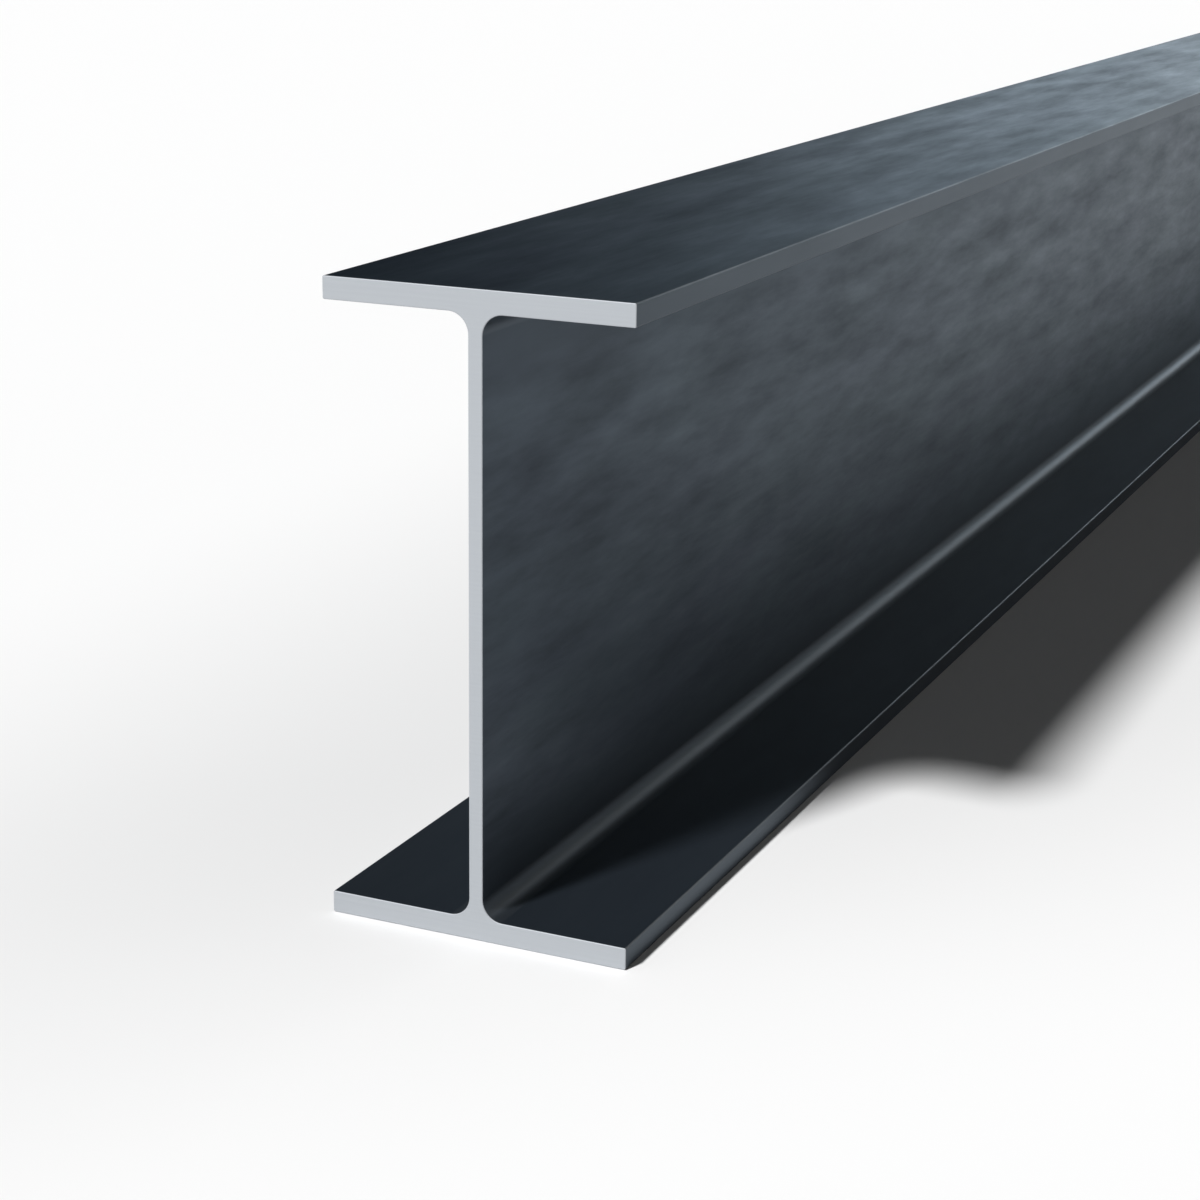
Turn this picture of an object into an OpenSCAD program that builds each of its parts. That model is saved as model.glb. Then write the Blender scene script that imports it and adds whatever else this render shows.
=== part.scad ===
// Rolled steel I-beam with parallel flanges, lying on its bottom flange.
// +X runs along the beam, +Y across the flanges and +Z up. The origin is the
// middle of the underside, halfway along the length.

/* [Section] */
// Depth of the section, over both flanges
section_h = 250; // [140:5:900]
// Width of each flange
flange_w = 125; // [100:5:420]
// Thickness of the web
web_t = 6; // [4:0.5:20]
// Thickness of each flange
flange_t = 9; // [5:0.5:35]
// Radius of the root fillets, where the web meets the flanges
root_r = 8; // [4:1:27]
// Radius that rolling leaves on the long edges of the flange tips
tip_r = 0.8; // [0.2:0.1:2]

/* [Length] */
// Length that the stock is cut to, square at both ends
beam_l = 6000; // [500:100:15000]

/* [Hidden] */
$fn = 96;
steel_color = [0.19, 0.22, 0.25];

web_h = section_h - 2 * flange_t;

// The sliver between a square corner at the origin and the arc that touches
// both of its sides. It fills an inside corner or takes off an outside one.
module corner_sliver(r) {
    difference() {
        square(r);
        translate([r, r])
            circle(r);
    }
}

// Its children, and their mirror image across the section's upright centre line
module both_sides() {
    for (side = [0, 1])
        mirror([side, 0])
            children();
}

// One flange of width w and thickness t, from y = 0 up, with rounded tip edges
module flange(w, t, r) {
    difference() {
        translate([-w / 2, 0])
            square([w, t]);
        both_sides() {
            translate([-w / 2, 0])
                corner_sliver(r);
            translate([-w / 2, t])
                mirror([0, 1])
                    corner_sliver(r);
        }
    }
}

// The web between the inner faces of the flanges, with its four root fillets
module web(w, h, r) {
    translate([-w / 2, 0])
        square([w, h]);
    both_sides() {
        translate([w / 2, 0])
            corner_sliver(r);
        translate([w / 2, h])
            mirror([0, 1])
                corner_sliver(r);
    }
}

// The whole section, standing on y = 0 and centred on x = 0
module section() {
    flange(flange_w, flange_t, tip_r);
    translate([0, section_h - flange_t])
        flange(flange_w, flange_t, tip_r);
    translate([0, flange_t])
        web(web_t, web_h, root_r);
}

// The beam is rolled in one piece, so the section runs its whole length
module i_beam() {
    color(steel_color)
        rotate([90, 0, 90])
            linear_extrude(height = beam_l, center = true)
                section();
}

i_beam();
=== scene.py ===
"""A hot-rolled steel I-beam, in a stock length: dark mill scale on its rolled faces, and pale sawn ends.

The CAD solid gives every size. One skin of the same section stands for it, and adds what the solid leaves
out: finely rounded fillets, tips and cut edges, the slight waves that rolling and straightening leave, and
the two finishes. Lengths are in metres, +X runs along the beam and +Z is up.
"""

import math

import bpy
import numpy as np
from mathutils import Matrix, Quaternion, Vector, noise


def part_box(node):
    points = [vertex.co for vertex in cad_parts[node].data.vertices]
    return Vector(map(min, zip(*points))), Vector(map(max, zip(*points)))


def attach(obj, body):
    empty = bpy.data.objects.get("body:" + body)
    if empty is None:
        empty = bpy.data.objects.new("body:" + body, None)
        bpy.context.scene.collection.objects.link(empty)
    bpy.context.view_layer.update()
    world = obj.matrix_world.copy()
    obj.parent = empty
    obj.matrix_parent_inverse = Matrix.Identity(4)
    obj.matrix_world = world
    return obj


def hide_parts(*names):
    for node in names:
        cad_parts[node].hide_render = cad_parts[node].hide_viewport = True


MM = 0.001
BEAM = "i_beam"

# A vertex of the CAD solid is on a face if it is this close to it
ON_FACE = 0.001 * MM

# How finely the skin is divided: steps round each curve, and the size of a face on the flats
TIP_STEPS = 5
ROOT_STEPS = 14
CUT_STEPS = 3
FLAT_STEP = 13 * MM
LENGTH_STEP = 26 * MM
# A flat's first and last points lie this close to the curve beside it, which keeps its shading flat. A flat
# shorter than the second length gets no points of its own.
SUPPORT = 0.3 * MM
SHORTEST_DIVIDED = 3 * SUPPORT
# The radius at the edges of the saw cuts
CUT_BREAK = 0.35 * MM
# The order of the skin's materials
ROLLED = 0
SAWN = 1

# The skin lies this far below the CAD surface, which leaves room for waves up to this high
SKIN_DEPTH = 0.16 * MM
LONG_WAVE = 0.13 * MM
LONG_WAVE_SIZE = (0.55, 0.11, 0.16)
# Beside the fillets and the flange tips, the waves fade out over this width and the web's clouds grow calm
FADE = 32 * MM
# How strongly the scale is clouded on the flanges' outer faces, and on the fillets, tips and inner faces.
# In the middle of the web it is 1.
OUTER_CLOUDED = 0.80
CALM = 0.15
# A direction is slanted, as on a curve, if it points more than this both sideways and up or down
SLANTED = 0.1
# How lightened the tips are, by wear and a painted highlight, and the fillets, by a painted highlight. Tips'
# rounded edges are 1.
TIP_WEAR_AND_HIGHLIGHT = 0.26
FILLET_PAINTED_HIGHLIGHT = 0.21

# The noises in the finishes: the size of the lumps along each axis, how fine their detail is, and a seed
CLOUDS = {"size": (0.095, 0.0175, 0.0175), "detail": 5.0, "roughness": 0.65, "seed": 13.0}
PATCHES = {"size": (1.3, 0.6, 0.6), "detail": 0.0, "seed": 9.1}
HUES = {"size": (0.16, 0.035, 0.035), "detail": 3.0, "seed": 168.1}
STREAKS = {"size": (0.9, 0.010, 0.010), "detail": 3.0, "seed": 1.3}
GRAIN = {"size": (1.6 * MM, 1.2 * MM, 1.2 * MM), "detail": 2.0}
SAW_LINES = {"size": (0.01, 0.08, 0.9 * MM), "detail": 2.0}
NOISE_MIDDLE = 0.5

# Mill scale: two hues of it, and what multiplies them in its clouds and in its broad patches
GREEN_SCALE = (0.0346, 0.0466, 0.0597, 1)
BLUE_SCALE = (0.0368, 0.0463, 0.0632, 1)
HUE_RANGE = (0.36, 0.64)
DARK_CLOUD = (0.55, 0.57, 0.60, 1)
LIGHT_CLOUD = (1.55, 1.50, 1.43, 1)
CLOUD_RANGE = (0.30, 0.70)
DARK_PATCH = (0.51, 0.57, 0.63, 1)
LIGHT_PATCH = (1.27, 1.20, 1.12, 1)
PATCH_RANGE = (0.20, 0.60)
# Its gloss, with the roughness of dark clouds and of light ones
SCALE_METALLIC = 0.65
SCALE_SPECULAR = 0.35
SCALE_TINT = (0.845, 0.932, 1.0, 1)
SCALE_ROUGHNESS = (0.487, 0.353)
STREAK_HEIGHT = 0.02 * MM
GRAIN_HEIGHT = 0.004 * MM
# Bare steel, for rubbed scale and for painted highlights, and how much shows through in dark clouds and
# light ones
BARE_STEEL_AND_HIGHLIGHT = (0.165, 0.175, 0.185, 1)
WEAR_AND_HIGHLIGHT_SHARE = (0.15, 0.95)

# Bare sawn steel, with the lines that the saw leaves
SAWN_DARK = (0.332, 0.352, 0.376, 1)
SAWN_LIGHT = (0.340, 0.360, 0.384, 1)
SAWN_METALLIC = 0.2
SAWN_ROUGHNESS = (0.58, 0.52)
LINE_RANGE = (0.35, 0.65)
LINE_HEIGHT = 0.0018 * MM

# The studio's key light comes from the near left: the way it travels, its strength, and its width in degrees
KEY_TRAVEL = (1.03, -0.357, -1.0)
KEY_STRENGTH = 4.75
KEY_ANGLE = 6.5
# The studio's soft panels: azimuth from +X towards +Y, elevation and radius in degrees, strength and tint
COOL = (0.85, 1.0, 1.11)
WARM = (1.2, 1.0, 0.8)
WHITE = (1.0, 1.0, 1.0)
PANELS = (
    (-60, 10, 20, 1.2, WHITE),
    (-35, 4, 17, 0.4, WHITE),
    (-5, 2, 9, 4.2, COOL),
    (0, 4, 15, 1.6, WHITE),
    (8, 3, 15, 1.9, COOL),
    (16, 5, 15, 0.4, COOL),
    (-20, 22, 16, 0.5, WARM),
    (-8, 20, 16, 0.9, WHITE),
    (-12, 34, 18, 0.3, COOL),
    (125, 12, 35, 0.8, WHITE),
)
DARK = (0.002, 0.002, 0.002)
BACKDROP = (0.99, 0.99, 0.99, 1)

# The floor reaches this far on every side, and has a painted shade beside the beam. That painted shade
# clears over these distances, aside from the beam and inwards from its ends, where below 0 is past them. It
# reaches further past the ends on the left, by this share of the distance to that side.
FLOOR_HALF = 60.0
FLOOR_COLOUR = (0.89, 0.89, 0.89, 1)
FLOOR_PAINTED_SHADE = (0.74, 0.74, 0.74, 1)
SHADE_ASIDE = (0.0, 0.41)
SHADE_INWARD = (-0.30, 0.30)
SHADE_LEAN = 1.0

# The camera's place, in depths of the section from the bottom centre of the near end, its aim in degrees,
# and its lens in millimetres
CAMERA_PLACE = (-3.1692, -1.6291, 1.5956)
CAMERA_YAW = 24.27
CAMERA_PITCH = 16.468
CAMERA_ROLL = 0.753
CAMERA_LENS = 76.07


# ---------------------------------------------------------------- the section, from the CAD solid


def section_sizes(solid):
    """The section's sizes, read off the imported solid's vertices: those of the lower half are enough."""
    low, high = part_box(BEAM)
    points = np.array([v.co for v in solid.data.vertices])
    side, up = np.abs(points[:, 1]), points[:, 2]
    lower = up < high.z / 2
    web_half = side.min()
    flange_t = up[lower & (side > high.y / 2)].max()
    found = {
        "start": low.x,
        "end": high.x,
        "depth": high.z,
        "half_w": high.y,
        "web_half": web_half,
        "flange_t": flange_t,
        "root_r": up[lower & (side < web_half + ON_FACE)].min() - flange_t,
        "tip_r": up[lower & (side > high.y - ON_FACE)].min(),
    }
    return {name: float(value) for name, value in found.items()}


def arc(centre, radius, start_deg, end_deg, steps):
    """Points (y, z) round an arc, with the ways out of the steel. A negative radius gives a fillet."""
    for i in range(steps + 1):
        a = math.radians(start_deg + (end_deg - start_deg) * i / steps)
        out = Vector((math.cos(a), math.sin(a)))
        yield Vector(centre) + abs(radius) * out, out if radius > 0 else -out


def quarter_outline(s):
    """A quarter of the section, at +Y, from the middle of the underside to the middle of the web."""
    w, t, r, web, top = s["half_w"], s["tip_r"], s["root_r"], s["web_half"], s["flange_t"]
    yield Vector((0, 0)), Vector((0, -1))
    yield from arc((w - t, t), t, -90, 0, TIP_STEPS)
    yield from arc((w - t, top - t), t, 0, 90, TIP_STEPS)
    yield from arc((web + r, top + r), -r, 270, 180, ROOT_STEPS)
    yield Vector((web, s["depth"] / 2)), Vector((1, 0))


def divided(p, q, normal):
    """Points between the ends of a flat: one close to each end, and the rest evenly spread."""
    length = (q - p).length
    if length < SHORTEST_DIVIDED:
        return []
    inner = length - 2 * SUPPORT
    count = max(1, round(inner / FLAT_STEP))
    along = (q - p) / length
    return [(p + along * (SUPPORT + inner * i / count), normal) for i in range(count + 1)]


def outline(s):
    """The whole section, anticlockwise, as points and outward directions, with its flats divided."""
    quarter = list(quarter_outline(s))
    mirrored = [(Vector((p.x, s["depth"] - p.y)), Vector((n.x, -n.y))) for p, n in quarter[:-1]]
    right = quarter + mirrored[::-1]
    left = [(Vector((-p.x, p.y)), Vector((-n.x, n.y))) for p, n in right[-2:0:-1]]
    loop = right + left
    ring = []
    for (p, n), (q, _) in zip(loop, loop[1:] + loop[:1]):
        ring.append((p, n))
        ring += divided(p, q, n)
    return ring


def stations(s):
    """Places along the beam, each with how far the rounded edge of a cut draws the section in there."""
    edge = []
    for i in range(CUT_STEPS + 1):
        a = math.radians(90 * i / CUT_STEPS)
        edge.append((CUT_BREAK * (1 - math.cos(a)), CUT_BREAK * (1 - math.sin(a))))
    near = [(s["start"] + x, inset) for x, inset in edge]
    far = [(s["end"] - x, inset) for x, inset in edge[::-1]]
    first, last = near[-1][0], far[0][0]
    count = round((last - first) / LENGTH_STEP)
    between = [first + SUPPORT]
    between += [first + (last - first) * i / count for i in range(1, count)]
    between += [last - SUPPORT]
    return near + [(x, 0.0) for x in between] + far


# ---------------------------------------------------------------- the skin


def eased(value):
    """0 to 1, with a smooth start and finish."""
    v = min(1.0, max(0.0, value))
    return v * v * (3 - 2 * v)


def on_outer_face(s, p):
    """Whether a place is on the outer face of a flange, or on the rounded edge of that face."""
    return p.y < s["tip_r"] or p.y > s["depth"] - s["tip_r"]


def openness(s, p):
    """1 in the middle of the web and of the outer faces, falling to 0 at fillets, tips and inner faces."""
    if on_outer_face(s, p):
        return eased((s["half_w"] - abs(p.x)) / FADE)
    root = s["flange_t"] + s["root_r"]
    return eased((min(p.y, s["depth"] - p.y) - root) / FADE)


def cloudiness(s, p):
    """How strongly the scale is clouded: evenly on the outer faces, and fully in the middle of the web."""
    if on_outer_face(s, p):
        return OUTER_CLOUDED
    return CALM + (1 - CALM) * openness(s, p)


def edge_wear_and_highlight(s, p, n):
    """Wear and a painted highlight: 1 on the rounded edges of the flange tips, less on the tips, a painted
    highlight alone in the fillets, and 0 on the flats.
    """
    rounded = abs(n.x) > SLANTED and abs(n.y) > SLANTED
    if abs(p.x) < s["half_w"] - s["tip_r"]:
        return FILLET_PAINTED_HIGHLIGHT if rounded else 0.0
    return 1.0 if rounded else TIP_WEAR_AND_HIGHLIGHT


def wave(x, p):
    """How deep the long waves are at a place on the skin, in metres."""
    a, b, c = LONG_WAVE_SIZE
    return LONG_WAVE * noise.noise(Vector((x / a, p.x / b, p.y / c)))


def skin_points(s, ring, rows):
    """The skin's points, row after row."""
    opened = [openness(s, p) for p, _ in ring]
    points = []
    for x, inset in rows:
        for (p, n), waviness in zip(ring, opened):
            q = p - n * (inset + SKIN_DEPTH + waviness * wave(x, p))
            points.append((x, q.x, q.y))
    return points


def side_faces(around, rows):
    """The faces that join each row of points, of this many around, to the next."""
    faces = []
    for j in range(rows - 1):
        for i in range(around):
            k = (i + 1) % around
            faces.append((j * around + i, j * around + k, (j + 1) * around + k, (j + 1) * around + i))
    return faces


def skin_mesh(s):
    """The beam's whole surface as one closed mesh, with how clouded its scale is, and how far it is
    lightened by wear and by painted highlights.
    """
    ring, rows = outline(s), stations(s)
    points = skin_points(s, ring, rows)
    around = len(ring)
    sides = side_faces(around, len(rows))
    near_end = tuple(reversed(range(around)))
    far_end = tuple(range(len(points) - around, len(points)))
    mesh = bpy.data.meshes.new("beam_skin")
    mesh.from_pydata(points, [], sides + [near_end, far_end])
    mesh.polygons.foreach_set("use_smooth", [True] * len(sides) + [False, False])
    cut_edge = [SAWN] * (around * CUT_STEPS)
    rolled = [ROLLED] * (len(sides) - 2 * len(cut_edge))
    mesh.polygons.foreach_set("material_index", cut_edge + rolled + cut_edge + [SAWN, SAWN])
    clouded = [cloudiness(s, p) for p, _ in ring]
    # Where bare steel shows: worn tips, and a painted highlight on the tips' edges and in the fillets
    wear_and_highlight_mask = [edge_wear_and_highlight(s, p, n) for p, n in ring]
    for name, values in (("clouded", clouded), ("wear_and_highlight_mask", wear_and_highlight_mask)):
        mesh.attributes.new(name, "FLOAT", "POINT").data.foreach_set("value", values * len(rows))
    mesh.update()
    return mesh


# ---------------------------------------------------------------- materials


class Tree:
    """A node tree, with short ways to add what the finishes and the studio share."""

    def __init__(self, owner):
        owner.use_nodes = True
        self.tree = owner.node_tree
        self.tree.nodes.clear()

    def feed(self, socket, value):
        """Sets a socket to a value, or links another node's socket to it."""
        if isinstance(value, bpy.types.NodeSocket):
            self.tree.links.new(value, socket)
        else:
            socket.default_value = value

    def add(self, kind, inputs=None, **settings):
        """A new node, with its inputs fed."""
        node = self.tree.nodes.new(kind)
        for name, value in settings.items():
            setattr(node, name, value)
        for name, value in (inputs or {}).items():
            self.feed(node.inputs[name], value)
        return node

    def place(self):
        """The place on the object, in metres."""
        return self.add("ShaderNodeTexCoord").outputs["Object"]

    def attribute(self, name):
        """A number that the mesh holds at each of its points."""
        return self.add("ShaderNodeAttribute", attribute_name=name).outputs["Fac"]

    def vector(self, operation, inputs):
        """A calculation with vectors."""
        return self.add("ShaderNodeVectorMath", inputs, operation=operation).outputs["Vector"]

    def math(self, operation, a, b=0.0, c=0.0):
        """A calculation with up to three numbers."""
        return self.add("ShaderNodeMath", {0: a, 1: b, 2: c}, operation=operation).outputs["Value"]

    def mix(self, amount, a, b):
        """Colour a where the amount is 0, and colour b where it is 1."""
        node = self.add("ShaderNodeMix", {"Factor": amount}, data_type="RGBA")
        colours = [socket for socket in node.inputs if socket.type == "RGBA"]
        for socket, value in zip(colours, (a, b)):
            self.feed(socket, value)
        return next(socket for socket in node.outputs if socket.type == "RGBA")

    def lumps(self, size, detail, roughness=0.5, seed=0.0):
        """Soft noise, about 0.3 to 0.7, whose lumps have these sizes along each axis, in metres."""
        scaled = self.add(
            "ShaderNodeMapping",
            {"Vector": self.place(), "Scale": tuple(1 / v for v in size), "Location": (seed, seed, seed)},
        )
        soft = self.add(
            "ShaderNodeTexNoise",
            {"Vector": scaled.outputs["Vector"], "Scale": 1.0, "Detail": detail, "Roughness": roughness},
        )
        return soft.outputs["Fac"]

    def calmed(self, value):
        """Noise drawn towards its middle value where the skin is less clouded."""
        swing = self.math("SUBTRACT", value, NOISE_MIDDLE)
        return self.math("MULTIPLY_ADD", swing, self.attribute("clouded"), NOISE_MIDDLE)

    def spread(self, value, old, new=(0.0, 1.0), kind="LINEAR"):
        """A value mapped from one range to another, and held within it."""
        ends = {"Value": value, "From Min": old[0], "From Max": old[1], "To Min": new[0], "To Max": new[1]}
        return self.add("ShaderNodeMapRange", ends, interpolation_type=kind).outputs["Result"]

    def relief(self, height):
        """The direction of a surface that has this height, in metres."""
        bump = self.add("ShaderNodeBump", {"Height": height, "Strength": 1.0, "Distance": 1.0})
        return bump.outputs["Normal"]

    def surface(self, kind, inputs):
        """The shader that makes the material's surface."""
        shader = self.add(kind, inputs)
        self.add("ShaderNodeOutputMaterial", {"Surface": shader.outputs["BSDF"]})


def scale_colour(t, clouds):
    """The scale's drifting hue, times the tone of its clouds and of its broad patches."""
    hue = t.calmed(t.lumps(**HUES))
    scale = t.mix(t.spread(hue, HUE_RANGE), GREEN_SCALE, BLUE_SCALE)
    tone = t.mix(t.spread(clouds, CLOUD_RANGE), DARK_CLOUD, LIGHT_CLOUD)
    broad = t.mix(t.spread(t.lumps(**PATCHES), PATCH_RANGE), DARK_PATCH, LIGHT_PATCH)
    return t.vector("MULTIPLY", {0: t.vector("MULTIPLY", {0: scale, 1: tone}), 1: broad})


def scale_height(t):
    """The height of the streaks that the rolls leave, and of the scale's fine grain."""
    grain = t.math("MULTIPLY", t.lumps(**GRAIN), GRAIN_HEIGHT)
    return t.math("MULTIPLY_ADD", t.lumps(**STREAKS), STREAK_HEIGHT, grain)


def mill_scale():
    """Dark blue-grey scale with soft clouds drawn out along the beam, roll streaks, and edges lightened by
    wear and by a painted highlight.
    """
    mat = bpy.data.materials.new("mill_scale")
    t = Tree(mat)
    clouds = t.calmed(t.lumps(**CLOUDS))
    # Bare steel lightens the worn tips, and paints a highlight on the tips' edges and in the fillets
    wear_and_highlight = t.math("MULTIPLY", t.attribute("wear_and_highlight_mask"), t.spread(clouds, CLOUD_RANGE, WEAR_AND_HIGHLIGHT_SHARE))
    t.surface(
        "ShaderNodeBsdfPrincipled",
        {
            "Base Color": t.mix(wear_and_highlight, scale_colour(t, clouds), BARE_STEEL_AND_HIGHLIGHT),
            "Metallic": SCALE_METALLIC,
            "Specular IOR Level": SCALE_SPECULAR,
            "Specular Tint": SCALE_TINT,
            "Roughness": t.spread(clouds, CLOUD_RANGE, SCALE_ROUGHNESS),
            "Normal": t.relief(scale_height(t)),
        },
    )
    return mat


def sawn_steel():
    """Bare pale metal where the saw cut the beam."""
    mat = bpy.data.materials.new("sawn_steel")
    t = Tree(mat)
    lines = t.lumps(**SAW_LINES)
    t.surface(
        "ShaderNodeBsdfPrincipled",
        {
            "Base Color": t.mix(t.spread(lines, LINE_RANGE), SAWN_DARK, SAWN_LIGHT),
            "Metallic": SAWN_METALLIC,
            "Roughness": t.spread(lines, LINE_RANGE, SAWN_ROUGHNESS),
            "Normal": t.relief(t.math("MULTIPLY", lines, LINE_HEIGHT)),
        },
    )
    return mat


def floor_with_painted_shade(s):
    """A white floor, with a soft painted shade beside the beam."""
    mat = bpy.data.materials.new("floor_with_painted_shade")
    t = Tree(mat)
    place = t.add("ShaderNodeSeparateXYZ", {0: t.place()}).outputs
    aside = t.math("SUBTRACT", t.math("ABSOLUTE", place["Y"]), s["half_w"])
    inward = t.math("SUBTRACT", s["end"], t.math("ABSOLUTE", place["X"]))
    leaning = t.math("MULTIPLY_ADD", place["Y"], SHADE_LEAN, inward)
    beside = t.spread(aside, SHADE_ASIDE, (1.0, 0.0), "SMOOTHSTEP")
    along = t.spread(leaning, SHADE_INWARD, kind="SMOOTHSTEP")
    # Painted shade: the floor's colour is darkened beside the beam, where its shadow would fall
    shade = t.math("MULTIPLY", beside, along)
    t.surface("ShaderNodeBsdfDiffuse", {"Color": t.mix(shade, FLOOR_COLOUR, FLOOR_PAINTED_SHADE)})
    return mat


# ---------------------------------------------------------------- the stage, the lights and the camera


def shown(name, data):
    """A new object in the scene."""
    made = bpy.data.objects.new(name, data)
    bpy.context.scene.collection.objects.link(made)
    return made


def make_floor(s):
    """A wide square floor under the beam."""
    mesh = bpy.data.meshes.new("floor")
    r = FLOOR_HALF
    mesh.from_pydata([(-r, -r, 0), (r, -r, 0), (r, r, 0), (-r, r, 0)], [], [(0, 1, 2, 3)])
    mesh.materials.append(floor_with_painted_shade(s))
    shown("floor", mesh)


def make_key():
    """One broad light, whose shadows have soft edges."""
    light = bpy.data.lights.new("key", "SUN")
    light.energy = KEY_STRENGTH
    light.angle = math.radians(KEY_ANGLE)
    lamp = shown("key", light)
    lamp.rotation_mode = "QUATERNION"
    lamp.rotation_quaternion = Vector(KEY_TRAVEL).to_track_quat("-Z", "Y")


def towards(azimuth, elevation):
    """The direction at these angles, in degrees from +X and up from the horizon."""
    az, el = math.radians(azimuth), math.radians(elevation)
    return Vector((math.cos(az) * math.cos(el), math.sin(az) * math.cos(el), math.sin(el)))


def make_world():
    """A dark studio with soft panels, which light the beam. The camera sees a white backdrop instead."""
    world = bpy.data.worlds.new("studio")
    bpy.context.scene.world = world
    t = Tree(world)
    way = t.add("ShaderNodeTexCoord").outputs["Generated"]
    light = DARK
    for azimuth, elevation, radius, strength, tint in PANELS:
        aim = {0: way, 1: towards(azimuth, elevation)}
        facing = t.add("ShaderNodeVectorMath", aim, operation="DOT_PRODUCT").outputs["Value"]
        edge = {"Value": facing, "From Min": math.cos(math.radians(radius)), "To Max": strength}
        panel = t.add("ShaderNodeMapRange", edge, interpolation_type="SMOOTHSTEP").outputs["Result"]
        light = t.vector("MULTIPLY_ADD", {0: tint, 1: panel, 2: light})
    studio = t.add("ShaderNodeBackground", {"Color": light}).outputs["Background"]
    backdrop = t.add("ShaderNodeBackground", {"Color": BACKDROP}).outputs["Background"]
    seen = t.add("ShaderNodeLightPath").outputs["Is Camera Ray"]
    both = t.add("ShaderNodeMixShader", {0: seen, 1: studio, 2: backdrop})
    t.add("ShaderNodeOutputWorld", {"Surface": both.outputs["Shader"]})


def make_camera(s):
    """A camera beside and in front of the beam's near end, looking along it."""
    data = bpy.data.cameras.new("camera")
    data.lens = CAMERA_LENS
    camera = shown("camera", data)
    camera.location = Vector((s["start"], 0, 0)) + s["depth"] * Vector(CAMERA_PLACE)
    aim = towards(CAMERA_YAW, -CAMERA_PITCH).to_track_quat("-Z", "Y")
    camera.rotation_mode = "QUATERNION"
    camera.rotation_quaternion = aim @ Quaternion((0, 0, 1), math.radians(CAMERA_ROLL))
    bpy.context.scene.camera = camera


# ---------------------------------------------------------------- making it all

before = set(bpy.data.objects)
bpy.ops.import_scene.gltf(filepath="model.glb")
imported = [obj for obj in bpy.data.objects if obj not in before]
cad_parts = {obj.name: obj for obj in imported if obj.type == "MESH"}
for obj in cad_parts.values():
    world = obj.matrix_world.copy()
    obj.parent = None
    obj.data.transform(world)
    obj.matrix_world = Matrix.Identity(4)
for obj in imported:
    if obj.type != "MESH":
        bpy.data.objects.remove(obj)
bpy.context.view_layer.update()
sizes = section_sizes(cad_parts[BEAM])

make_camera(sizes)
make_floor(sizes)
make_key()
make_world()
bpy.context.scene.view_settings.view_transform = "Standard"

skin = shown("beam_skin", skin_mesh(sizes))
skin.data.materials.append(mill_scale())
skin.data.materials.append(sawn_steel())
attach(skin, "root")
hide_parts(BEAM)
